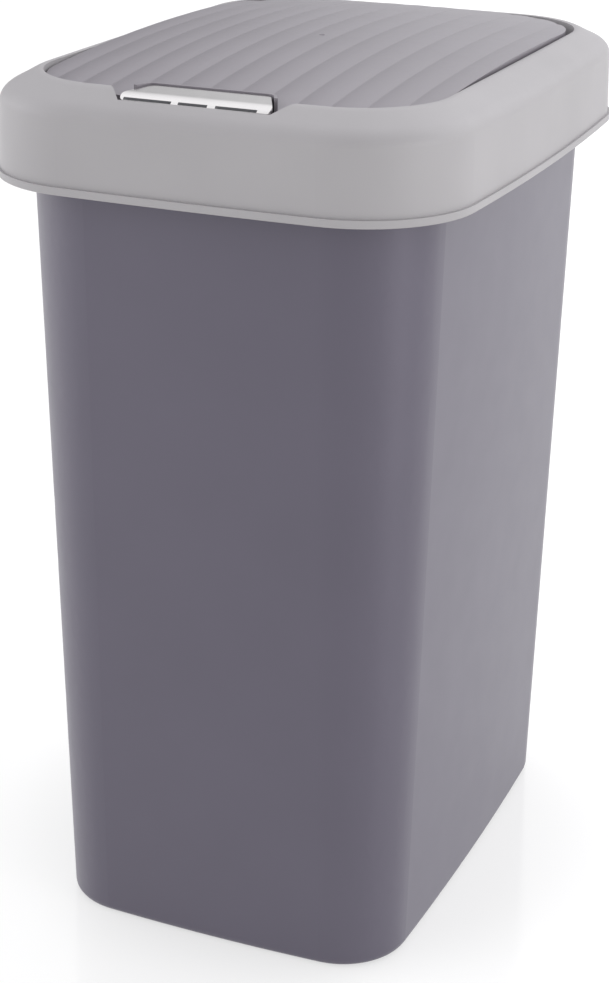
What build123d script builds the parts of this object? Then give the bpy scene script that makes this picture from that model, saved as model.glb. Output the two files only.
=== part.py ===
from build123d import *
from math import cos, pi, radians, sin, tan
import os

# A press-to-open kitchen bin of about 25 litres.
# A tapered bucket carries a wide collar, the collar carries a hinged fluted flap, and a
# chromed button in a notch at the front works the latch that frees the flap.
# Millimetres. +Z is up, the front faces -Y, and the origin is on the floor under the middle.

os.makedirs("parts", exist_ok=True)

# Bucket
bucket_width = 205.9
bucket_length = 290.6
bucket_height = 442.0
bucket_draft = 1.35
bucket_wall = 2.2
floor_thickness = 3.6
base_corner_radius = 38.5
corner_growth = 0.026
end_bow = 4.0
side_bow_low = 3.4
side_bow_high = 5.3
foot_radius = 4.5
inner_floor_radius = 8.0
foot_ring_width = 13.0
foot_recess = 1.6
flange_reach = 9.0
flange_thickness = 2.4
flange_lip_drop = 5.0

# Collar
skirt_drop = 22.0
collar_rise = 29.0
collar_overhang = 17.3
collar_wall = 2.2
collar_corner_radius = 60.6
collar_end_bow = 3.9
collar_side_bow = 7.0
bead_height = 4.2
bead_proud = 1.3
bead_round = 1.2
skirt_lean = 1.0
shoulder_rise = 14.0
shoulder_side_width = 20.7
shoulder_end_width = 23.0
opening_corner_radius = 47.0
opening_end_bow = 2.5
opening_side_bow = 0.5
inner_wall_gap = 1.0
rib_rim_gap = 0.5
flap_rest_spacing = 120.0
flap_rest_width = 10.0
flap_rest_reach = 4.0
flap_rest_thickness = 2.0
rib_thickness = 1.8
rib_pitch = 44.0
side_rib_count = 7
end_rib_count = 5
# Shoulder profile from the skirt to the opening: share of its width, share of its rise
shoulder_profile = ((0.0, 0.0), (0.03, 0.2), (0.12, 0.4), (0.32, 0.61), (0.62, 0.83), (1.0, 1.0))

# Flap
side_gap = 1.5
rear_gap = 2.7
flap_rear_corner_radius = 58.0
flap_skirt_wall = 1.8
flap_skin = 2.1
flap_skirt_depth = 8.0
flute_count = 13
flute_overhang = 3.0
flute_depth = 0.9
flap_rib_thickness = 1.6
flap_rib_height = 4.0
flap_rib_spacing = 62.0
flap_cross_rib_count = 4
flap_long_rib_count = 3
# Flap crown from front to rear: place along the flap, height over the collar's top edge,
# how much lower the sides are than the middle, and share of the full flute depth.
crown_stations = (
    (-1.0, -5.3, 1.1, 1.0),
    (-0.5, 2.5, 3.2, 1.0),
    (0.0, 5.7, 4.1, 1.0),
    (0.5, 5.0, 3.9, 1.0),
    (1.0, 0.8, 2.6, 0.15),
)

# Button and its notch
notch_depth = 11.5
notch_back_width = 98.0
notch_front_width = 79.4
notch_floor_drop = 10.6
notch_wall = 2.0
button_width = 78.6
button_back_width = 63.0
button_length = 19.5
button_side_length = 3.5
button_rise = 0.6
button_top_slope = 4.5
button_nose_length = 6.5
button_nose_drop = 3.2
button_skirt = 6.4
button_wall = 1.3
button_front_radius = 2.0
button_back_radius = 4.0
button_gap = 0.4
button_travel = 3.0
button_flap_gap = 1.2
lip_wall = 1.6
lip_rise = 1.3

# Button carrier and latch
fit_gap = 0.3
carrier_fit = 0.05
carrier_thickness = 2.6
carrier_front_inset = 4.5
stem_width = 6.0
stem_depth = 4.0
stem_spacing = 24.0
stem_length = 15.2
housing_width = 48.0
housing_wall = 1.6
housing_height = 13.4
housing_length = 24.9
tooth_width = 14.0
tooth_height = 4.0
tooth_lift = 2.2
tooth_reach = 2.3
slide_length = 14.5
crossbar_length = 7.0
hook_gap = 5.2
hook_reach = 2.0
hook_height = 4.0
hook_thickness = 2.2
hook_width = 18.0
latch_spring_wire = 0.4
latch_spring_radius = 2.6
latch_spring_turns = 4
latch_spring_seat = 4.0
screw_spacing = 60.0
screw_radius = 1.1
screw_head_radius = 2.6
screw_head_height = 1.8
screw_length = 9.5
screw_clearance = 0.4
boss_radius = 3.2
boss_height = 7.4
housing_ear_thickness = 2.0

# Rear hinges
hinge_inset = 12.0
hinge_drop = 4.0
hinge_pin_radius = 1.25
running_clearance = 0.08
press_clearance = 0.02
knuckle_radius = 2.6
knuckle_width = 4.0
knuckle_web = 4.6
ear_lean = 0.6
hinge_spacing = 92.0
hinge_spring_room = 10.0
knuckle_side_gap = 0.4
ear_width = 4.0
shelf_thickness = 3.0
shelf_drop = 10.6
hinge_skirt_cut = 20.0
hinge_skirt_clearance = 2.4
spring_wire = 0.5
spring_coil_radius = 2.05
spring_turns = 4
spring_end_gap = 0.5
spring_arm = 11.0
wire_sides = 6

# Heights, half sizes and places worked out from the driving sizes
rim_z = bucket_height
collar_low_z = rim_z - skirt_drop
collar_top_z = rim_z + collar_rise
shoulder_low_z = collar_top_z - shoulder_rise
wall_slope = tan(radians(bucket_draft))


def bucket_half_x(height):
    return bucket_width / 2 + height * wall_slope


def bucket_half_y(height):
    return bucket_length / 2 + height * wall_slope


skirt_half_x = bucket_half_x(collar_low_z) + collar_overhang - bead_proud
skirt_half_y = bucket_half_y(collar_low_z) + collar_overhang - bead_proud
opening_half_x = skirt_half_x - skirt_lean - shoulder_side_width
opening_half_y = skirt_half_y - skirt_lean - shoulder_end_width
flap_half_x = opening_half_x - side_gap
flap_front_y = side_gap - opening_half_y
flap_rear_y = opening_half_y - rear_gap
flap_low_z = collar_top_z + crown_stations[0][1] - flap_skirt_depth
flute_pitch = 2 * (flap_half_x + flute_overhang) / flute_count
notch_front_y = -opening_half_y - notch_depth
notch_floor_z = collar_top_z - notch_floor_drop
notch_under_z = notch_floor_z - notch_wall
button_front_y = notch_front_y + button_gap
button_back_y = button_front_y + button_length
button_top_z = collar_top_z + button_rise
button_low_z = button_top_z - button_skirt
stem_rear_y = button_back_y - button_wall - fit_gap
stem_front_y = stem_rear_y - stem_depth
stem_low_z = button_low_z - stem_length
housing_rear_y = button_back_y + fit_gap
housing_front_y = housing_rear_y - housing_length
housing_low_z = notch_under_z - housing_height
slide_low_z = housing_low_z + housing_wall + fit_gap
slide_rear_y = housing_rear_y - housing_wall - fit_gap - fit_gap
slide_front_y = slide_rear_y - slide_length
tooth_low_z = slide_low_z + tooth_lift
hook_face_y = housing_rear_y + hook_gap
hook_top_z = tooth_low_z - fit_gap
hook_low_z = hook_top_z - hook_height
boss_low_z = notch_under_z - boss_height
hinge_y = opening_half_y - hinge_inset
hinge_z = collar_top_z - hinge_drop
shelf_top_z = hinge_z - shelf_drop
hinge_centres = (-hinge_spacing / 2, hinge_spacing / 2)
knuckle_offset = (hinge_spring_room + knuckle_width) / 2
ear_offset = knuckle_offset + knuckle_width / 2 + knuckle_side_gap + ear_width / 2
pin_length = 2 * ear_offset + ear_width
screw_y = (housing_front_y + housing_rear_y) / 2
tooth_tip_y = housing_rear_y + tooth_reach
latch_spring_z = slide_low_z + (housing_height - housing_wall) / 2 - fit_gap
latch_spring_front_y = housing_front_y + housing_wall + fit_gap + latch_spring_wire
latch_spring_room = slide_front_y + latch_spring_seat - housing_front_y - housing_wall - 2 * fit_gap
latch_spring_pitch = (latch_spring_room - 2 * latch_spring_wire) / latch_spring_turns
spring_pitch = (hinge_spring_room - 2 * spring_end_gap - 2 * spring_wire) / (spring_turns + 0.25)


def bowed_outline(height, half_x, half_y, bow_x, bow_y, radius, middle_y=0.0, rear_radius=None):
    """Rounded outline at a height, with sides that bulge by bow_x and ends by bow_y."""
    corner_x = half_x - bow_x
    low_y = middle_y - half_y + bow_y
    high_y = middle_y + half_y - bow_y
    with BuildSketch(Plane.XY.offset(height)) as outline:
        with BuildLine():
            ThreePointArc((-corner_x, low_y), (0, middle_y - half_y), (corner_x, low_y))
            ThreePointArc((corner_x, low_y), (half_x, middle_y), (corner_x, high_y))
            ThreePointArc((corner_x, high_y), (0, middle_y + half_y), (-corner_x, high_y))
            ThreePointArc((-corner_x, high_y), (-half_x, middle_y), (-corner_x, low_y))
        make_face()
        fillet(outline.vertices().group_by(Axis.Y)[0], radius)
        fillet(outline.vertices().group_by(Axis.Y)[-1], rear_radius or radius)
    return outline.sketch


def bucket_section(height, inset=0.0):
    """Outline of the bucket's wall at a height, moved inwards by inset."""
    return bowed_outline(
        height,
        bucket_half_x(height) - inset,
        bucket_half_y(height) - inset,
        side_bow_low + (side_bow_high - side_bow_low) * height / bucket_height,
        end_bow,
        base_corner_radius + height * corner_growth - inset,
    )


def collar_section(height, inward=0.0, inset=0.0):
    """Outline of the collar; inward runs from 0 at the skirt to 1 at the opening's edge."""
    lean = skirt_lean if height > collar_low_z + bead_height else 0.0
    skirt_radius = collar_corner_radius - bead_proud
    return bowed_outline(
        height - inset,
        skirt_half_x - lean - shoulder_side_width * inward - inset,
        skirt_half_y - lean - shoulder_end_width * inward - inset,
        collar_side_bow + (opening_side_bow - collar_side_bow) * inward,
        collar_end_bow + (opening_end_bow - collar_end_bow) * inward,
        skirt_radius + (opening_corner_radius - skirt_radius) * inward - inset,
    )


def opening_section(height, grow=0.0):
    """Outline of the collar's opening at a height, moved outwards by grow."""
    return bowed_outline(
        height,
        opening_half_x + grow,
        opening_half_y + grow,
        opening_side_bow,
        opening_end_bow,
        opening_corner_radius + grow,
    )


def flap_outline(height, inset=0.0):
    """Outline of the flap at a height, moved inwards by inset."""
    return bowed_outline(
        height,
        flap_half_x - inset,
        (flap_rear_y - flap_front_y) / 2 - inset,
        opening_side_bow,
        opening_end_bow,
        opening_corner_radius - side_gap - inset,
        (flap_rear_y + flap_front_y) / 2,
        flap_rear_corner_radius - inset,
    )


def collar_form(inset=0.0):
    """Solid form of the collar's outside, or of its inside when inset by the wall."""
    with BuildPart() as form:
        loft(
            [
                collar_section(collar_low_z + inset, 0.0, inset),
                collar_section(shoulder_low_z, 0.0, inset),
            ],
            ruled=True,
        )
        loft([
            collar_section(shoulder_low_z + shoulder_rise * rise, share, inset)
            for share, rise in shoulder_profile
        ])
    return form.part


def crown_height(station, across, lowered=0.0):
    """Height of the flap's crown at a station, at a share across its half width."""
    return collar_top_z + station[1] - station[2] * across**2 - lowered


def crown_section(station, fluted, lowered=0.0):
    """Cross-section of the flap's form at one station, closed just below the catch."""
    half_x = flute_pitch * flute_count / 2
    strips = flute_count if fluted else 1
    strip = 2 * half_x / strips
    pillow = flute_depth * station[3] if fluted else 0.0
    low_z = hook_low_z - fit_gap
    with BuildSketch(Plane.XZ.offset(-station[0] * opening_half_y)) as section:
        with BuildLine():
            for number in range(strips):
                x1 = -half_x + number * strip
                x2 = x1 + strip
                middle = (x1 + x2) / 2
                ThreePointArc(
                    (x1, crown_height(station, x1 / flap_half_x, lowered)),
                    (middle, crown_height(station, middle / flap_half_x, lowered) + pillow),
                    (x2, crown_height(station, x2 / flap_half_x, lowered)),
                )
            edge_z = crown_height(station, half_x / flap_half_x, lowered)
            Polyline((half_x, edge_z), (half_x, low_z), (-half_x, low_z), (-half_x, edge_z))
        make_face()
    return section.sketch


def crown_form(fluted, lowered=0.0):
    """Solid under the flap's crown."""
    with BuildPart() as form:
        loft([crown_section(station, fluted, lowered) for station in crown_stations])
    return form.part


def button_plan(height, grow=0.0):
    """Outline of the button seen from above, moved outwards by grow."""
    half_front = button_width / 2
    half_back = button_back_width / 2
    side_y = button_front_y + button_side_length
    with BuildSketch(Plane.XY.offset(height)) as plan:
        with BuildLine():
            Polyline(
                (-half_front, button_front_y),
                (half_front, button_front_y),
                (half_front, side_y),
                (half_back, button_back_y),
                (-half_back, button_back_y),
                (-half_front, side_y),
                close=True,
            )
        make_face()
        fillet(plan.vertices().group_by(Axis.Y)[0], button_front_radius)
        fillet(plan.vertices().group_by(Axis.Y)[-1], button_back_radius)
        if grow:
            offset(amount=grow)
    return plan.sketch


def notch_plan(height, grow=0.0):
    """Outline of the notch in the collar's front, run on towards the middle of the bin."""
    half_front = notch_front_width / 2 + grow
    half_back = notch_back_width / 2 + grow
    with BuildSketch(Plane.XY.offset(height)) as plan:
        with BuildLine():
            Polyline(
                (-half_front, notch_front_y - grow),
                (half_front, notch_front_y - grow),
                (half_back, -opening_half_y),
                (half_back, button_back_y),
                (-half_back, button_back_y),
                (-half_back, -opening_half_y),
                close=True,
            )
        make_face()
    return plan.sketch


def collar_bead():
    """Outline of the bead round the collar's lower edge."""
    return bowed_outline(
        collar_low_z,
        skirt_half_x + bead_proud,
        skirt_half_y + bead_proud,
        collar_side_bow,
        collar_end_bow,
        collar_corner_radius,
    )


def button_profile(inset=0.0):
    """Side profile of the button: a gently sloped top that ends in a rounded nose."""
    back_y = button_back_y + 1
    nose_y = button_front_y + button_nose_length
    top_z = button_top_z - inset
    nose_top_z = top_z - (back_y - nose_y) * tan(radians(button_top_slope))
    nose_low_z = nose_top_z - button_nose_drop
    with BuildSketch() as profile:
        with BuildLine():
            top = Line((back_y, top_z), (nose_y, nose_top_z))
            TangentArc((nose_y, nose_top_z), (button_front_y + inset, nose_low_z), tangent=top % 1)
            Polyline(
                (button_front_y + inset, nose_low_z),
                (button_front_y + inset, button_low_z - 1),
                (back_y, button_low_z - 1),
                (back_y, top_z),
            )
        make_face()
    return profile.sketch


def ramp_height(y):
    """Height of the slide's ramp, parallel to the stems' wedge faces and just clear of them."""
    return stem_low_z + stem_rear_y - y - fit_gap


def coil_arcs(turns, radius, pitch):
    """Quarter turns of a coil: three points each, as (along the axis, across, up)."""
    arcs = []
    for quarter in range(round(turns * 4)):
        points = []
        for part in (0.0, 0.5, 1.0):
            angle = (quarter + part) * pi / 2
            points.append(((quarter + part) / 4 * pitch, radius * sin(angle), radius * cos(angle)))
        arcs.append(points)
    return arcs


# Bucket: a tapered shell with a rounded foot and an outward flange under the collar
with BuildPart() as bucket_hollow:
    loft([bucket_section(floor_thickness, bucket_wall), bucket_section(rim_z, bucket_wall)], ruled=True)
    fillet(bucket_hollow.edges().group_by(Axis.Z)[0], inner_floor_radius)

with BuildPart() as bucket_flange:
    extrude(bucket_section(rim_z - flange_lip_drop, -flange_reach), amount=flange_lip_drop)
    fillet(bucket_flange.edges().group_by(Axis.Z)[-1], flange_thickness / 2)
    extrude(
        bucket_section(rim_z - flange_lip_drop, flange_thickness - flange_reach),
        amount=flange_lip_drop - flange_thickness,
        mode=Mode.SUBTRACT,
    )

with BuildPart() as bin_body:
    loft([bucket_section(0), bucket_section(rim_z)], ruled=True)
    fillet(bin_body.edges().group_by(Axis.Z)[0], foot_radius)
    add(bucket_flange.part)
    add(bucket_hollow.part, mode=Mode.SUBTRACT)
    extrude(bucket_section(0, foot_ring_width), amount=foot_recess, mode=Mode.SUBTRACT)
bin_body.part.label = "bin_body"
print("bin_body", bin_body.part.is_valid, len(bin_body.solids()), bin_body.part.bounding_box())
export_step(bin_body.part, "parts/bin_body.step")

# Collar: skirt, domed shoulder and inner wall, ribs that stand on the bucket's flange,
# the notch and floor of the button, and the ears of the rear hinges
outer_form = collar_form()

with BuildPart() as collar_hollow:
    add(collar_form(collar_wall))
    extrude(
        opening_section(rim_z + inner_wall_gap, collar_wall),
        amount=collar_rise,
        mode=Mode.SUBTRACT,
    )

with BuildPart() as collar_ribs:
    with Locations((0, 0, rim_z)):
        with GridLocations(0, rib_pitch, 1, side_rib_count):
            Box(2 * skirt_half_x, rib_thickness, 2 * collar_rise)
        with GridLocations(rib_pitch, 0, end_rib_count, 1):
            Box(rib_thickness, 2 * skirt_half_y, 2 * collar_rise)
    with Locations((0, -skirt_half_y, rim_z)):
        Box(
            notch_back_width + 2 * notch_wall,
            2 * (skirt_half_y - opening_half_y),
            2 * collar_rise,
            mode=Mode.SUBTRACT,
        )
    extrude(
        bucket_section(rim_z, -flange_reach - rib_rim_gap),
        amount=-collar_rise,
        mode=Mode.SUBTRACT,
    )
    extrude(
        collar_section(rim_z - flange_lip_drop, 0, -bead_proud),
        amount=-collar_rise,
        mode=Mode.SUBTRACT,
    )
    extrude(opening_section(rim_z, collar_wall), amount=collar_rise, mode=Mode.SUBTRACT)
    add(collar_hollow.part, mode=Mode.INTERSECT)

with BuildPart() as notch_tub:
    extrude(notch_plan(notch_under_z, notch_wall), amount=notch_floor_drop + notch_wall)
    add(outer_form, mode=Mode.INTERSECT)
    extrude(opening_section(notch_under_z), amount=notch_floor_drop + notch_wall, mode=Mode.SUBTRACT)

with BuildPart() as collar:
    add(outer_form)
    extrude(collar_bead(), amount=bead_height)
    fillet(collar.edges().group_by(Axis.Z)[0], bead_round)
    add(collar_hollow.part, mode=Mode.SUBTRACT)
    extrude(opening_section(collar_low_z), amount=collar_rise + 2 * skirt_drop, mode=Mode.SUBTRACT)
    add(collar_ribs.part)
    add(notch_tub.part)
    # Notch for the button, and room in the inner wall for the latch housing below it
    extrude(notch_plan(notch_floor_z), amount=notch_floor_drop + collar_rise, mode=Mode.SUBTRACT)
    with BuildSketch(Plane.XY.offset(notch_under_z)):
        with Locations((0, (housing_front_y + housing_rear_y) / 2)):
            Rectangle(screw_spacing + 4 * boss_radius, housing_length)
    extrude(amount=collar_low_z - notch_under_z, mode=Mode.SUBTRACT)
    # Floor that carries the housing and guides the button's two stems
    with BuildSketch(Plane.XY.offset(notch_under_z)):
        with Locations((0, (housing_front_y + housing_rear_y) / 2)):
            Rectangle(button_back_width, housing_length)
        with Locations((0, (stem_front_y + stem_rear_y) / 2)):
            with GridLocations(stem_spacing, 0, 2, 1):
                Rectangle(stem_width + 2 * fit_gap, stem_depth + 2 * fit_gap, mode=Mode.SUBTRACT)
    extrude(amount=notch_wall)
    # Screw bosses beside the housing
    with BuildSketch(Plane.XY.offset(notch_under_z)):
        with Locations((0, screw_y)):
            with GridLocations(screw_spacing, 0, 2, 1):
                Circle(boss_radius)
    extrude(amount=-boss_height)
    with BuildSketch(Plane.XY.offset(boss_low_z)):
        with Locations((0, screw_y)):
            with GridLocations(screw_spacing, 0, 2, 1):
                Circle(screw_radius + press_clearance)
    extrude(amount=screw_length - housing_ear_thickness, mode=Mode.SUBTRACT)
    # Two small rests under the front of the flap's skirt
    with Locations((0, -opening_half_y, flap_low_z - fit_gap)):
        with GridLocations(flap_rest_spacing, 0, 2, 1):
            Box(
                flap_rest_width,
                2 * flap_rest_reach,
                flap_rest_thickness,
                align=(Align.CENTER, Align.CENTER, Align.MAX),
            )
    # Hinge shelves and ears on the rear wall
    for centre in hinge_centres:
        with BuildSketch(Plane.XY.offset(shelf_top_z)):
            with Locations((centre, (hinge_y - knuckle_radius + opening_half_y + collar_wall) / 2)):
                Rectangle(
                    2 * ear_offset + ear_width,
                    opening_half_y + collar_wall - hinge_y + knuckle_radius,
                )
        extrude(amount=-shelf_thickness)
        for side in (-ear_offset, ear_offset):
            with BuildSketch(Plane.YZ.offset(centre + side)):
                with Locations((hinge_y, hinge_z)):
                    Circle(knuckle_radius)
                with Locations((hinge_y - ear_lean, (hinge_z + shelf_top_z) / 2)):
                    Rectangle(2 * (knuckle_radius - ear_lean), shelf_drop)
            extrude(amount=ear_width / 2, both=True)
            with BuildSketch(Plane.YZ.offset(centre + side)):
                with Locations((hinge_y, hinge_z)):
                    Circle(hinge_pin_radius + press_clearance)
            extrude(amount=ear_width, both=True, mode=Mode.SUBTRACT)
collar.part.label = "collar"
print("collar", collar.part.is_valid, len(collar.solids()), collar.part.bounding_box())
export_step(collar.part, "parts/collar.step")

# Flap: crowned and fluted skin, skirt, ribs, cut-out round the button, catch and knuckles
with BuildPart() as flap_hollow:
    add(crown_form(False, flap_skin))
    extrude(flap_outline(hook_low_z, flap_skirt_wall), amount=2 * collar_rise, mode=Mode.INTERSECT)

with BuildPart() as flap_ribs:
    with Locations((0, 0, collar_top_z)):
        with GridLocations(0, flap_rib_spacing, 1, flap_cross_rib_count):
            Box(2 * flap_half_x, flap_rib_thickness, collar_rise)
        with GridLocations(flap_rib_spacing, 0, flap_long_rib_count, 1):
            Box(flap_rib_thickness, 2 * opening_half_y, collar_rise)
    add(flap_hollow.part, mode=Mode.INTERSECT)
    add(crown_form(False, flap_skin + flap_rib_height), mode=Mode.SUBTRACT)

with BuildPart() as flap_lip:
    extrude(button_plan(flap_low_z, button_flap_gap + lip_wall), amount=collar_top_z + lip_rise - flap_low_z)
    extrude(flap_outline(flap_low_z), amount=collar_rise, mode=Mode.INTERSECT)

# Catch: a plate behind the button with a barb that faces the latch's tooth
with BuildPart() as flap_catch:
    with BuildSketch(Plane.YZ.offset(-hook_width / 2)):
        with BuildLine():
            Polyline(
                (hook_face_y, hook_top_z),
                (hook_face_y - hook_reach, hook_top_z),
                (hook_face_y, hook_low_z),
                (hook_face_y + hook_thickness, hook_low_z),
                (hook_face_y + hook_thickness, collar_top_z),
                (hook_face_y, collar_top_z),
                close=True,
            )
        make_face()
    extrude(amount=hook_width)
    add(crown_form(False, flap_skin / 2), mode=Mode.INTERSECT)

with BuildPart() as flap:
    add(crown_form(True))
    extrude(flap_outline(flap_low_z), amount=2 * collar_rise, mode=Mode.INTERSECT)
    add(flap_hollow.part, mode=Mode.SUBTRACT)
    add(flap_ribs.part)
    add(flap_lip.part)
    extrude(button_plan(hook_low_z, button_flap_gap), amount=2 * collar_rise, mode=Mode.SUBTRACT)
    add(flap_catch.part)
    # The skirt stops at the hinges, where knuckles hang from the skin
    for centre in hinge_centres:
        with Locations((centre, flap_rear_y, hinge_z + hinge_skirt_clearance)):
            Box(
                2 * (ear_offset + ear_width),
                hinge_skirt_cut,
                collar_rise,
                align=(Align.CENTER, Align.CENTER, Align.MAX),
                mode=Mode.SUBTRACT,
            )
        for side in (-knuckle_offset, knuckle_offset):
            with BuildSketch(Plane.YZ.offset(centre + side)):
                with Locations((hinge_y, hinge_z)):
                    Circle(knuckle_radius)
                with Locations((hinge_y, hinge_z + knuckle_web / 2)):
                    Rectangle(2 * knuckle_radius, knuckle_web)
            extrude(amount=knuckle_width / 2, both=True)
            with BuildSketch(Plane.YZ.offset(centre + side)):
                with Locations((hinge_y, hinge_z)):
                    Circle(hinge_pin_radius + running_clearance)
            extrude(amount=knuckle_width, both=True, mode=Mode.SUBTRACT)
flap.part.label = "flap"
print("flap", flap.part.is_valid, len(flap.solids()), flap.part.bounding_box())
export_step(flap.part, "parts/flap.step")

# Button cap: a thin chromed shell with a bull nose at the front
with BuildPart() as button_core:
    extrude(button_plan(button_low_z, -button_wall), amount=2 * button_skirt)
    with BuildSketch(Plane.YZ.offset(-button_width)):
        add(button_profile(button_wall))
    extrude(amount=2 * button_width, mode=Mode.INTERSECT)

with BuildPart() as button_cap:
    extrude(button_plan(button_low_z), amount=2 * button_skirt)
    with BuildSketch(Plane.YZ.offset(-button_width)):
        add(button_profile())
    extrude(amount=2 * button_width, mode=Mode.INTERSECT)
    add(button_core.part, mode=Mode.SUBTRACT)
button_cap.part.label = "button_cap"
print("button_cap", button_cap.part.is_valid, len(button_cap.solids()), button_cap.part.bounding_box())
export_step(button_cap.part, "parts/button_cap.step")

# Button carrier: plate inside the cap with two stems that end in wedges
with BuildPart() as button_carrier:
    extrude(button_plan(button_low_z, -button_wall - carrier_fit), amount=carrier_thickness)
    with Locations((0, button_front_y, button_low_z)):
        Box(button_width, 2 * carrier_front_inset, 2 * button_skirt, mode=Mode.SUBTRACT)
    for side in (-stem_spacing / 2, stem_spacing / 2):
        with BuildSketch(Plane.YZ.offset(side)):
            with BuildLine():
                Polyline(
                    (stem_rear_y, button_low_z + carrier_thickness),
                    (stem_front_y, button_low_z + carrier_thickness),
                    (stem_front_y, stem_low_z + stem_depth),
                    (stem_rear_y, stem_low_z),
                    close=True,
                )
            make_face()
        extrude(amount=stem_width / 2, both=True)
button_carrier.part.label = "button_carrier"
export_step(button_carrier.part, "parts/button_carrier.step")

# Latch slide: crossbar with the spring's seat, tongue with the tooth, and two ramps
with BuildPart() as latch_slide:
    with BuildSketch(Plane.XY.offset(slide_low_z)):
        with Locations((0, slide_front_y + crossbar_length / 2)):
            Rectangle(housing_width - 2 * housing_wall - 2 * fit_gap, crossbar_length)
    extrude(amount=housing_height - housing_wall - 2 * fit_gap)
    with BuildSketch(Plane.XY.offset(tooth_low_z)):
        with Locations((0, (slide_front_y + crossbar_length + tooth_tip_y) / 2)):
            Rectangle(tooth_width, tooth_tip_y - slide_front_y - crossbar_length)
    extrude(amount=tooth_height)
    for side in (-stem_spacing / 2, stem_spacing / 2):
        with BuildSketch(Plane.YZ.offset(side)):
            with BuildLine():
                Polyline(
                    (slide_front_y + crossbar_length, slide_low_z),
                    (slide_rear_y, slide_low_z),
                    (slide_rear_y, ramp_height(slide_rear_y)),
                    (stem_front_y - fit_gap, ramp_height(stem_front_y - fit_gap)),
                    (slide_front_y + crossbar_length, ramp_height(stem_front_y - fit_gap)),
                    close=True,
                )
            make_face()
        extrude(amount=stem_width / 2, both=True)
    with BuildSketch(Plane.XZ.offset(-slide_front_y)):
        with Locations((0, latch_spring_z)):
            Circle(latch_spring_radius + latch_spring_wire + fit_gap)
    extrude(amount=-latch_spring_seat, mode=Mode.SUBTRACT)
latch_slide.part.label = "latch_slide"
export_step(latch_slide.part, "parts/latch_slide.step")

# Latch housing: open-topped box screwed under the notch's floor
with BuildPart() as latch_housing:
    with BuildSketch(Plane.XY.offset(housing_low_z)):
        with Locations((0, (housing_front_y + housing_rear_y) / 2)):
            Rectangle(housing_width, housing_length)
    extrude(amount=housing_height)
    with BuildSketch(Plane.XY.offset(housing_low_z + housing_wall)):
        with Locations((0, (housing_front_y + housing_rear_y) / 2)):
            Rectangle(housing_width - 2 * housing_wall, housing_length - 2 * housing_wall)
    extrude(amount=housing_height, mode=Mode.SUBTRACT)
    with BuildSketch(Plane.XZ.offset(-housing_rear_y + housing_wall)):
        with Locations((0, tooth_low_z + tooth_height / 2)):
            Rectangle(tooth_width + 2 * fit_gap, tooth_height + 2 * fit_gap)
    extrude(amount=-2 * housing_wall, mode=Mode.SUBTRACT)
    with BuildSketch(Plane.XY.offset(boss_low_z - housing_ear_thickness)):
        with Locations((0, screw_y)):
            Rectangle(screw_spacing + 2 * boss_radius, 2 * boss_radius)
            Rectangle(housing_width - housing_wall, 3 * boss_radius, mode=Mode.SUBTRACT)
            with GridLocations(screw_spacing, 0, 2, 1):
                Circle(screw_radius + screw_clearance, mode=Mode.SUBTRACT)
    extrude(amount=housing_ear_thickness)
latch_housing.part.label = "latch_housing"
export_step(latch_housing.part, "parts/latch_housing.step")

# Two self-tapping screws hold the housing
with BuildPart() as housing_screws:
    with Locations((0, screw_y, boss_low_z - housing_ear_thickness)):
        with GridLocations(screw_spacing, 0, 2, 1):
            Cylinder(screw_radius, screw_length, align=(Align.CENTER, Align.CENTER, Align.MIN))
            Cylinder(
                screw_head_radius,
                screw_head_height,
                align=(Align.CENTER, Align.CENTER, Align.MAX),
            )
housing_screws.part.label = "housing_screws"
export_step(housing_screws.part, "parts/housing_screws.step")

# Latch spring: a compression coil between the housing's front wall and the slide
with BuildPart() as latch_spring:
    with BuildLine() as latch_coil:
        for start, middle, end in coil_arcs(latch_spring_turns, latch_spring_radius, latch_spring_pitch):
            ThreePointArc(
                *[
                    (across, latch_spring_front_y + along, latch_spring_z + up)
                    for along, across, up in (start, middle, end)
                ]
            )
    with BuildSketch(Plane(latch_coil.line @ 0, z_dir=latch_coil.line % 0)):
        RegularPolygon(latch_spring_wire, wire_sides)
    sweep()
latch_spring.part.label = "latch_spring"
print("latch_spring", latch_spring.part.is_valid, len(latch_spring.solids()), latch_spring.part.volume)
export_step(latch_spring.part, "parts/latch_spring.step")

# Hinge pins and torsion springs, one pair on each side
for name, centre in zip(("left", "right"), hinge_centres):
    with BuildPart() as hinge_pin:
        with BuildSketch(Plane.YZ.offset(centre)):
            with Locations((hinge_y, hinge_z)):
                Circle(hinge_pin_radius)
        extrude(amount=pin_length / 2, both=True)
    hinge_pin.part.label = f"hinge_pin_{name}"
    export_step(hinge_pin.part, f"parts/hinge_pin_{name}.step")

    with BuildPart() as hinge_spring:
        with BuildLine() as spring_path:
            spring_x = centre - hinge_spring_room / 2 + spring_end_gap + spring_wire
            arcs = coil_arcs(spring_turns + 0.25, spring_coil_radius, spring_pitch)
            first = arcs[0][0]
            Line(
                (spring_x + first[0], hinge_y + first[1] - spring_arm, hinge_z + first[2]),
                (spring_x + first[0], hinge_y + first[1], hinge_z + first[2]),
            )
            for start, middle, end in arcs:
                ThreePointArc(
                    *[
                        (spring_x + along, hinge_y + across, hinge_z + up)
                        for along, across, up in (start, middle, end)
                    ]
                )
            last = arcs[-1][2]
            Line(
                (spring_x + last[0], hinge_y + last[1], hinge_z + last[2]),
                (spring_x + last[0], hinge_y + last[1], shelf_top_z + fit_gap),
            )
        with BuildSketch(Plane(spring_path.line @ 0, z_dir=spring_path.line % 0)):
            RegularPolygon(spring_wire, wire_sides)
        sweep()
    hinge_spring.part.label = f"hinge_spring_{name}"
    print("hinge_spring", hinge_spring.part.is_valid, len(hinge_spring.solids()), hinge_spring.part.volume)
    export_step(hinge_spring.part, f"parts/hinge_spring_{name}.step")
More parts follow.
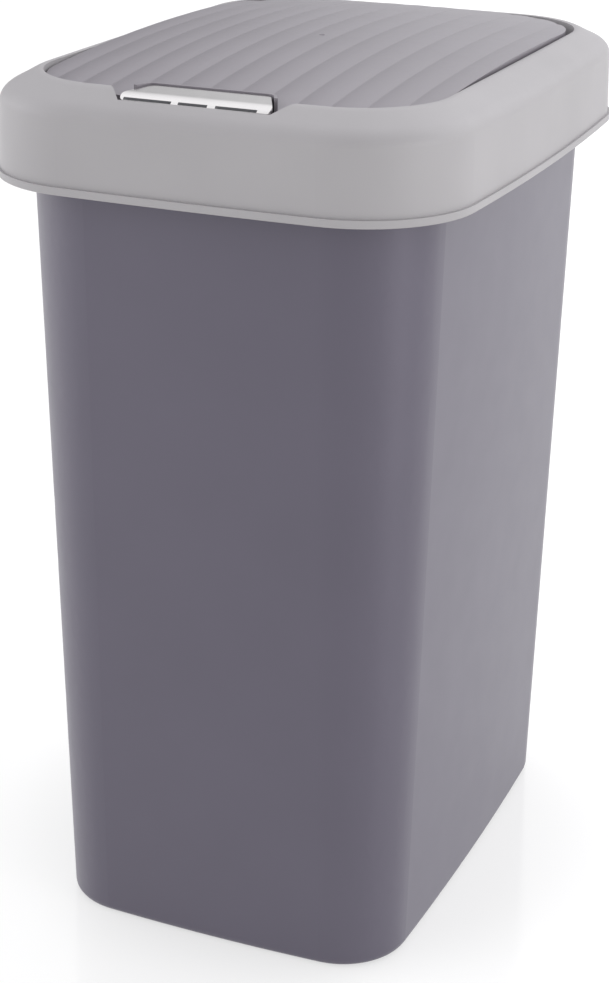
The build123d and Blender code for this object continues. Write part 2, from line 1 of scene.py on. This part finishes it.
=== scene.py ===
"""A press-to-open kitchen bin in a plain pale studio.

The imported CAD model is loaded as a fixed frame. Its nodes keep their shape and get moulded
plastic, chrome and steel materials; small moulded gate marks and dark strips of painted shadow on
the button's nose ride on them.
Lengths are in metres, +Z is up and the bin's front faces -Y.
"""

import math

import bmesh
import bpy
from mathutils import Matrix, Vector


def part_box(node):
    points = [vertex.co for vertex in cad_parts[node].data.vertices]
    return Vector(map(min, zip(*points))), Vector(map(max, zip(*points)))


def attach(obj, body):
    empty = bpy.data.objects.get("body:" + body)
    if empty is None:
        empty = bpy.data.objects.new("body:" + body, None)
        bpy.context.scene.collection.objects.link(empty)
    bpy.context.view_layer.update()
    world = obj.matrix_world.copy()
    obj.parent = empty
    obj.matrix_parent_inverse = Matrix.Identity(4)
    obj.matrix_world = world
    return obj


# The photograph's camera
CAMERA_PLACE = (0.4411, -1.0564, 0.6713)
CAMERA_AZIMUTH = math.radians(23.03)
CAMERA_DIP = math.radians(21.72)
CAMERA_ROLL = 0.0119
CAMERA_LENS_MM = 78.2
CAMERA_SENSOR_MM = 36.0
CAMERA_NEAR = 0.05
CAMERA_FAR = 50.0

# Floor
FLOOR_HALF = 12.0
FLOOR_COLOUR = (0.34, 0.34, 0.335)
FLOOR_MOTTLE = 0.004
FLOOR_MOTTLE_SCALE = 3.0
FLOOR_ROUGHNESS = 0.12
# Glow of the floor near the bin and further out, and the distances from the middle between them; the
# dimmer glow near the bin is a painted contact shadow
FLOOR_GLOW = (0.58, 0.65)
FLOOR_SHADOW_REACH = (0.13, 0.21)

# Light tent
TENT_COLOUR = (0.98, 0.98, 1.0)
TENT_EVEN = 0.05
# Each brighter wall: azimuth from +X and height in degrees, strength, sharpness
TENT_WALLS = (
    (0.0, 10.0, 1.45, 5.0),
    (70.0, 14.0, 0.62, 5.0),
    (60.0, 45.0, 2.1, 5.0),
    (0.0, 90.0, 0.35, 5.0),
    (113.0, 52.0, 0.2, 12.0),
    (113.0, 30.0, 0.24, 22.0),
    (180.0, 45.0, 0.85, 5.0),
    (190.0, 10.0, 2.2, 5.0),
    (235.0, 10.0, 1.15, 5.0),
    (320.0, 10.0, 0.82, 5.0),
    (104.0, 0.0, 0.56, 30.0),
)

# Softbox on the right
SOFTBOX_PLACE = (2.1, -0.5, 0.6)
SOFTBOX_AIM = (0.0, 0.0, 0.3)
SOFTBOX_SIDE = 1.0
SOFTBOX_WATTS = 7.3

# Noise of the finishes, with the part of its range that holds most of its values
NOISE_MIDDLE = (0.3, 0.7)
NO_STRETCH = (1.0, 1.0, 1.0)
MOTTLE_DETAIL = 3.0
GRAIN_DETAIL = 2.0

# Each plastic: linear colour, roughness, cycles of grain per metre, depth of the grain
PLASTICS = {
    "body_plastic": ((0.081, 0.0735, 0.1), 0.36, 900.0, 0.000004),
    "collar_plastic": ((0.345, 0.333, 0.342), 0.5, 1600.0, 0.00002),
    "flap_plastic": ((0.207, 0.191, 0.213), 0.3, 1400.0, 0.000008),
    "inner_plastic": ((0.045, 0.045, 0.05), 0.5, 1200.0, 0.00002),
}
PLASTIC_IOR = 1.49
PLASTIC_MOTTLE = 0.03
PLASTIC_MOTTLE_SCALE = 14.0
PLASTIC_GLOSS_DRIFT = 0.03
PLASTIC_GLOSS_SCALE = 45.0
PLASTIC_GLOSS_DETAIL = 4.0
BODY_SHINE = 0.7
BODY_SHINE_TINT = (0.94, 0.9, 1.0)

# Each metal: the same values, and the stretch of its grain along X, Y and Z
METALS = {
    "chromed_plastic": ((0.78, 0.765, 0.76), 0.16, 500.0, 0.000004, NO_STRETCH),
    "plated_steel": ((0.5, 0.5, 0.51), 0.3, 1500.0, 0.00001, (0.15, 1.0, 1.0)),
}
METAL_MOTTLE = 0.02
METAL_MOTTLE_SCALE = 60.0
METAL_GLOSS_DRIFT = 0.2
METAL_GLOSS_SCALE = 220.0
METAL_GLOSS_DETAIL = 3.0

# Finish of each CAD node that isn't plated steel
NODE_FINISHES = {
    "bin_body": "body_plastic",
    "collar": "collar_plastic",
    "flap": "flap_plastic",
    "button_cap": "chromed_plastic",
    "button_carrier": "inner_plastic",
    "latch_slide": "inner_plastic",
    "latch_housing": "inner_plastic",
}

# Gate mark on the flap: place, radius, height, and outline as shares of radius and height
GATE_PLACE = (0.0006, -0.0035)
GATE_RADIUS = 0.0016
GATE_HEIGHT = 0.00012
GATE_OUTLINE = ((1.0, -2.0), (1.0, 1.0), (0.8, 2.0), (0.55, 1.0), (0.2, -1.0))
# Gate mark in the recess under the bin: radii, and heights over the foot
FOOT_GATE_PROFILE = ((0.0024, 0.0011), (0.006, 0.0014), (0.006, 0.0017))
GATE_SIDES = 48

# Dark strips of painted shadow let into the button's nose, standing for the shadow line under it:
# spans along X, and reach behind the nose's front
NOSE_SHADOW_SPANS = {
    "left": (-0.0372, -0.0119),
    "middle": (-0.0082, 0.0070),
    "right": (0.0112, 0.0327),
}
NOSE_SHADOW_REACH = (0.00005, 0.0012)
# Height of the strip over the nose, the share of it at the strip's edges, and depth in the nose
NOSE_SHADOW_HEIGHT = 0.00012
NOSE_SHADOW_EDGE = 0.4
NOSE_SHADOW_DEPTH = 0.0003
# Steps along the strip and across it
NOSE_SHADOW_LENGTHS = 12
NOSE_SHADOW_WIDTHS = 4

# Height over the floor from which surfaces are sought
ABOVE_ALL = 1.0


def node_tree(material):
    """Empties a material and returns its nodes, its links and a new Principled shader."""
    material.use_nodes = True
    nodes, links = material.node_tree.nodes, material.node_tree.links
    nodes.clear()
    output = nodes.new("ShaderNodeOutputMaterial")
    shader = nodes.new("ShaderNodeBsdfPrincipled")
    links.new(shader.outputs["BSDF"], output.inputs["Surface"])
    return nodes, links, shader


def noise(nodes, links, scale, detail, stretch=NO_STRETCH):
    """Noise in the object's own coordinates, scale in cycles per metre."""
    place = nodes.new("ShaderNodeTexCoord")
    mapping = nodes.new("ShaderNodeMapping")
    mapping.inputs["Scale"].default_value = stretch
    texture = nodes.new("ShaderNodeTexNoise")
    texture.inputs["Scale"].default_value = scale
    texture.inputs["Detail"].default_value = detail
    links.new(place.outputs["Object"], mapping.inputs["Vector"])
    links.new(mapping.outputs["Vector"], texture.inputs["Vector"])
    return texture.outputs["Fac"]


def spread(nodes, links, source, start, end, low, high):
    """Maps a value's range start..end to low..high."""
    ramp = nodes.new("ShaderNodeMapRange")
    ramp.inputs["From Min"].default_value = start
    ramp.inputs["From Max"].default_value = end
    ramp.inputs["To Min"].default_value = low
    ramp.inputs["To Max"].default_value = high
    links.new(source, ramp.inputs["Value"])
    return ramp


def mottled(nodes, links, shader, colour, amount, scale):
    """Lets a colour drift a little lighter and darker over the surface."""
    mix = nodes.new("ShaderNodeMix")
    mix.data_type = "RGBA"
    mix.inputs["A"].default_value = (*[c * (1 - amount) for c in colour], 1)
    mix.inputs["B"].default_value = (*[c * (1 + amount) for c in colour], 1)
    drift = spread(nodes, links, noise(nodes, links, scale, MOTTLE_DETAIL), *NOISE_MIDDLE, 0.0, 1.0)
    links.new(drift.outputs["Result"], mix.inputs["Factor"])
    links.new(mix.outputs["Result"], shader.inputs["Base Color"])


def uneven_gloss(nodes, links, shader, roughness, amount, source):
    """Lets the roughness drift with a noise, by a share of itself."""
    low, high = roughness * (1 - amount), roughness * (1 + amount)
    drift = spread(nodes, links, source, *NOISE_MIDDLE, low, high)
    links.new(drift.outputs["Result"], shader.inputs["Roughness"])


def grained(nodes, links, shader, scale, depth, stretch=NO_STRETCH):
    """Adds the fine grain of a moulded or drawn surface as a bump."""
    bump = nodes.new("ShaderNodeBump")
    bump.inputs["Strength"].default_value = 1.0
    bump.inputs["Distance"].default_value = depth
    links.new(noise(nodes, links, scale, GRAIN_DETAIL, stretch), bump.inputs["Height"])
    links.new(bump.outputs["Normal"], shader.inputs["Normal"])


def moulded_plastic(name, colour, roughness, grain_scale, grain_depth):
    """Injection-moulded plastic: slight colour drift, uneven gloss and a fine grain."""
    material = bpy.data.materials.new(name)
    nodes, links, shader = node_tree(material)
    shader.inputs["IOR"].default_value = PLASTIC_IOR
    mottled(nodes, links, shader, colour, PLASTIC_MOTTLE, PLASTIC_MOTTLE_SCALE)
    gloss = noise(nodes, links, PLASTIC_GLOSS_SCALE, PLASTIC_GLOSS_DETAIL)
    uneven_gloss(nodes, links, shader, roughness, PLASTIC_GLOSS_DRIFT, gloss)
    grained(nodes, links, shader, grain_scale, grain_depth)
    return material


def metal(name, colour, roughness, grain_scale, grain_depth, stretch):
    """Metal or a plated surface, with a fine grain that may run one way."""
    material = bpy.data.materials.new(name)
    nodes, links, shader = node_tree(material)
    shader.inputs["Metallic"].default_value = 1.0
    mottled(nodes, links, shader, colour, METAL_MOTTLE, METAL_MOTTLE_SCALE)
    gloss = noise(nodes, links, METAL_GLOSS_SCALE, METAL_GLOSS_DETAIL, stretch)
    uneven_gloss(nodes, links, shader, roughness, METAL_GLOSS_DRIFT, gloss)
    grained(nodes, links, shader, grain_scale, grain_depth, stretch)
    return material


def dress(frame):
    """Makes the finishes and gives every CAD node its own."""
    finishes = {name: moulded_plastic(name, *look) for name, look in PLASTICS.items()}
    finishes.update({name: metal(name, *look) for name, look in METALS.items()})
    body_shader = finishes["body_plastic"].node_tree.nodes["Principled BSDF"]
    body_shader.inputs["Specular IOR Level"].default_value = BODY_SHINE
    body_shader.inputs["Specular Tint"].default_value = (*BODY_SHINE_TINT, 1)
    for name, node in frame["nodes"].items():
        for slot in node.material_slots:
            slot.material = finishes[NODE_FINISHES.get(name, "plated_steel")]
    return finishes


def placed(name, form, place, material, body):
    """Turns a bmesh into a smooth object that rides on a body."""
    mesh = bpy.data.meshes.new(name)
    form.to_mesh(mesh)
    form.free()
    for face in mesh.polygons:
        face.use_smooth = True
    mesh.materials.append(material)
    piece = bpy.data.objects.new(name, mesh)
    piece.location = place
    bpy.context.scene.collection.objects.link(piece)
    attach(piece, body)


def skinned(form, rings):
    """Adds faces between rings of vertices and closes the first and the last ring."""
    for low, high in zip(rings, rings[1:]):
        for step in range(len(low)):
            after = (step + 1) % len(low)
            form.faces.new((low[step], low[after], high[after], high[step]))
    form.faces.new(rings[0][::-1])
    form.faces.new(rings[-1])


def turned(name, profile, place, material, body):
    """A small piece of revolution about +Z: profile holds (radius, height) pairs."""
    form = bmesh.new()
    rings = []
    for radius, height in profile:
        ring = []
        for step in range(GATE_SIDES):
            angle = 2 * math.pi * step / GATE_SIDES
            ring.append(form.verts.new((radius * math.cos(angle), radius * math.sin(angle), height)))
        rings.append(ring)
    skinned(form, rings)
    placed(name, form, place, material, body)


def surface_height(node, x, y):
    """Height of a CAD node's top surface at a place."""
    return node.ray_cast(Vector((x, y, ABOVE_ALL)), Vector((0, 0, -1)))[1].z


def nose_shadow_strip(name, cap, span, material, body):
    """A thin dark strip of painted shadow let into the cap's nose along X, proud of it and lower at
    its edges.
    """
    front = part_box("button_cap")[0][1]
    start, end = span
    near, far = NOSE_SHADOW_REACH
    form = bmesh.new()
    rings = []
    for step in range(NOSE_SHADOW_LENGTHS + 1):
        x = start + (end - start) * step / NOSE_SHADOW_LENGTHS
        top, bottom = [], []
        for share in range(NOSE_SHADOW_WIDTHS + 1):
            y = front + near + (far - near) * share / NOSE_SHADOW_WIDTHS
            z = surface_height(cap, x, y)
            inside = 0 < share < NOSE_SHADOW_WIDTHS and 0 < step < NOSE_SHADOW_LENGTHS
            proud = NOSE_SHADOW_HEIGHT * (1.0 if inside else NOSE_SHADOW_EDGE)
            top.append(form.verts.new((x, y, z + proud)))
            bottom.append(form.verts.new((x, y, z - NOSE_SHADOW_DEPTH)))
        rings.append(top[::-1] + bottom)
    skinned(form, rings)
    placed(name, form, (0, 0, 0), material, body)


def details(frame, finishes):
    """Gate marks as moulded, and the dark strips of painted shadow at the lower edge of the button's
    nose.
    """
    cap = frame["nodes"]["button_cap"]
    for side, span in NOSE_SHADOW_SPANS.items():
        # Dark inner plastic along the nose's lower edge: painted shadow for the shadow line there
        nose_shadow_strip(f"nose_shadow_strip_{side}", cap, span, finishes["inner_plastic"], "button")
    flap_top = surface_height(frame["nodes"]["flap"], *GATE_PLACE)
    gate_profile = [(GATE_RADIUS * out, GATE_HEIGHT * up) for out, up in GATE_OUTLINE]
    turned("flap_gate_mark", gate_profile, (*GATE_PLACE, flap_top), finishes["flap_plastic"], "flap")
    floor_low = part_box("bin_body")[0][2]
    foot_place = (0, 0, floor_low)
    turned("foot_gate_mark", FOOT_GATE_PROFILE, foot_place, finishes["body_plastic"], "bin")


def softbox():
    """A square area light on the right, aimed at the bin."""
    light = bpy.data.lights.new("softbox_right", "AREA")
    light.shape = "SQUARE"
    light.size = SOFTBOX_SIDE
    light.energy = SOFTBOX_WATTS
    lamp = bpy.data.objects.new("softbox_right", light)
    lamp.location = SOFTBOX_PLACE
    aim = Vector(SOFTBOX_AIM) - Vector(SOFTBOX_PLACE)
    lamp.rotation_euler = aim.to_track_quat("-Z", "Y").to_euler()
    bpy.context.scene.collection.objects.link(lamp)


def toward(azimuth, height):
    """Unit vector at an azimuth from +X and a height over the floor, both in degrees."""
    turn, lift = math.radians(azimuth), math.radians(height)
    return (math.cos(turn) * math.cos(lift), math.sin(turn) * math.cos(lift), math.sin(lift))


def maths_step(nodes, links, operation, source, number):
    """A maths node that works on a source and a number."""
    step = nodes.new("ShaderNodeMath")
    step.operation = operation
    step.inputs[1].default_value = number
    links.new(source, step.inputs[0])
    return step


def light_tent():
    """White surroundings: an even share, and soft brighter walls round chosen directions."""
    world = bpy.data.worlds.new("studio_world")
    bpy.context.scene.world = world
    world.use_nodes = True
    nodes, links = world.node_tree.nodes, world.node_tree.links
    background = nodes["Background"]
    background.inputs["Color"].default_value = (*TENT_COLOUR, 1)
    place = nodes.new("ShaderNodeTexCoord")
    total = None
    for azimuth, height, strength, sharpness in TENT_WALLS:
        facing = nodes.new("ShaderNodeVectorMath")
        facing.operation = "DOT_PRODUCT"
        facing.inputs[1].default_value = toward(azimuth, height)
        links.new(place.outputs["Generated"], facing.inputs[0])
        clipped = maths_step(nodes, links, "MAXIMUM", facing.outputs["Value"], 0.0)
        rounded = maths_step(nodes, links, "POWER", clipped.outputs["Value"], sharpness)
        added = maths_step(nodes, links, "MULTIPLY_ADD", rounded.outputs["Value"], strength)
        added.inputs[2].default_value = TENT_EVEN
        if total is not None:
            links.new(total, added.inputs[2])
        total = added.outputs["Value"]
    links.new(total, background.inputs["Strength"])


def glossy_floor():
    """A pale glossy floor that glows, and a little more so away from the bin: the dimmer glow round
    the bin's foot is a painted contact shadow.
    """
    mesh = bpy.data.meshes.new("studio_floor")
    half = FLOOR_HALF
    outline = [(-half, -half, 0), (half, -half, 0), (half, half, 0), (-half, half, 0)]
    mesh.from_pydata(outline, [], [(0, 1, 2, 3)])
    material = bpy.data.materials.new("floor_gloss")
    nodes, links, shader = node_tree(material)
    mottled(nodes, links, shader, FLOOR_COLOUR, FLOOR_MOTTLE, FLOOR_MOTTLE_SCALE)
    shader.inputs["Roughness"].default_value = FLOOR_ROUGHNESS
    shader.inputs["Emission Color"].default_value = (1.0, 1.0, 1.0, 1.0)
    place = nodes.new("ShaderNodeTexCoord")
    reach = nodes.new("ShaderNodeVectorMath")
    reach.operation = "LENGTH"
    links.new(place.outputs["Object"], reach.inputs[0])
    # Weaker glow near the bin: painted contact shadow round its foot
    glow = spread(nodes, links, reach.outputs["Value"], *FLOOR_SHADOW_REACH, *FLOOR_GLOW)
    glow.interpolation_type = "SMOOTHSTEP"
    links.new(glow.outputs["Result"], shader.inputs["Emission Strength"])
    mesh.materials.append(material)
    floor = bpy.data.objects.new("studio_floor", mesh)
    bpy.context.scene.collection.objects.link(floor)


def camera():
    """Camera at the photograph's viewing angle."""
    sin_a, cos_a = math.sin(CAMERA_AZIMUTH), math.cos(CAMERA_AZIMUTH)
    sin_d, cos_d = math.sin(CAMERA_DIP), math.cos(CAMERA_DIP)
    forward = Vector((-sin_a * cos_d, cos_a * cos_d, -sin_d))
    level = Vector((cos_a, sin_a, 0.0))
    upright = level.cross(forward)
    right = math.cos(CAMERA_ROLL) * level + math.sin(CAMERA_ROLL) * upright
    up = -math.sin(CAMERA_ROLL) * level + math.cos(CAMERA_ROLL) * upright
    data = bpy.data.cameras.new("photo_camera")
    data.sensor_fit = "AUTO"
    data.sensor_width = CAMERA_SENSOR_MM
    data.lens = CAMERA_LENS_MM
    data.clip_start = CAMERA_NEAR
    data.clip_end = CAMERA_FAR
    view = bpy.data.objects.new("photo_camera", data)
    turn = Matrix((right, up, -forward)).transposed()
    view.matrix_world = Matrix.Translation(CAMERA_PLACE) @ turn.to_4x4()
    bpy.context.scene.collection.objects.link(view)
    bpy.context.scene.camera = view


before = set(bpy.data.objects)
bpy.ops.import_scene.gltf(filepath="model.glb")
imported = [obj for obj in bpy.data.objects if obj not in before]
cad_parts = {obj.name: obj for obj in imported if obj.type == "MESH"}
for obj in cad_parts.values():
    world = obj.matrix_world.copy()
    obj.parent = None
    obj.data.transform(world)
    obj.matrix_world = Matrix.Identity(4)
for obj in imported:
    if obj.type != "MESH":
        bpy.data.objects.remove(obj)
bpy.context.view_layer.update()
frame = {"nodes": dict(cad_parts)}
bpy.context.scene.view_settings.view_transform = "Standard"
camera()
light_tent()
softbox()
glossy_floor()
details(frame, dress(frame))
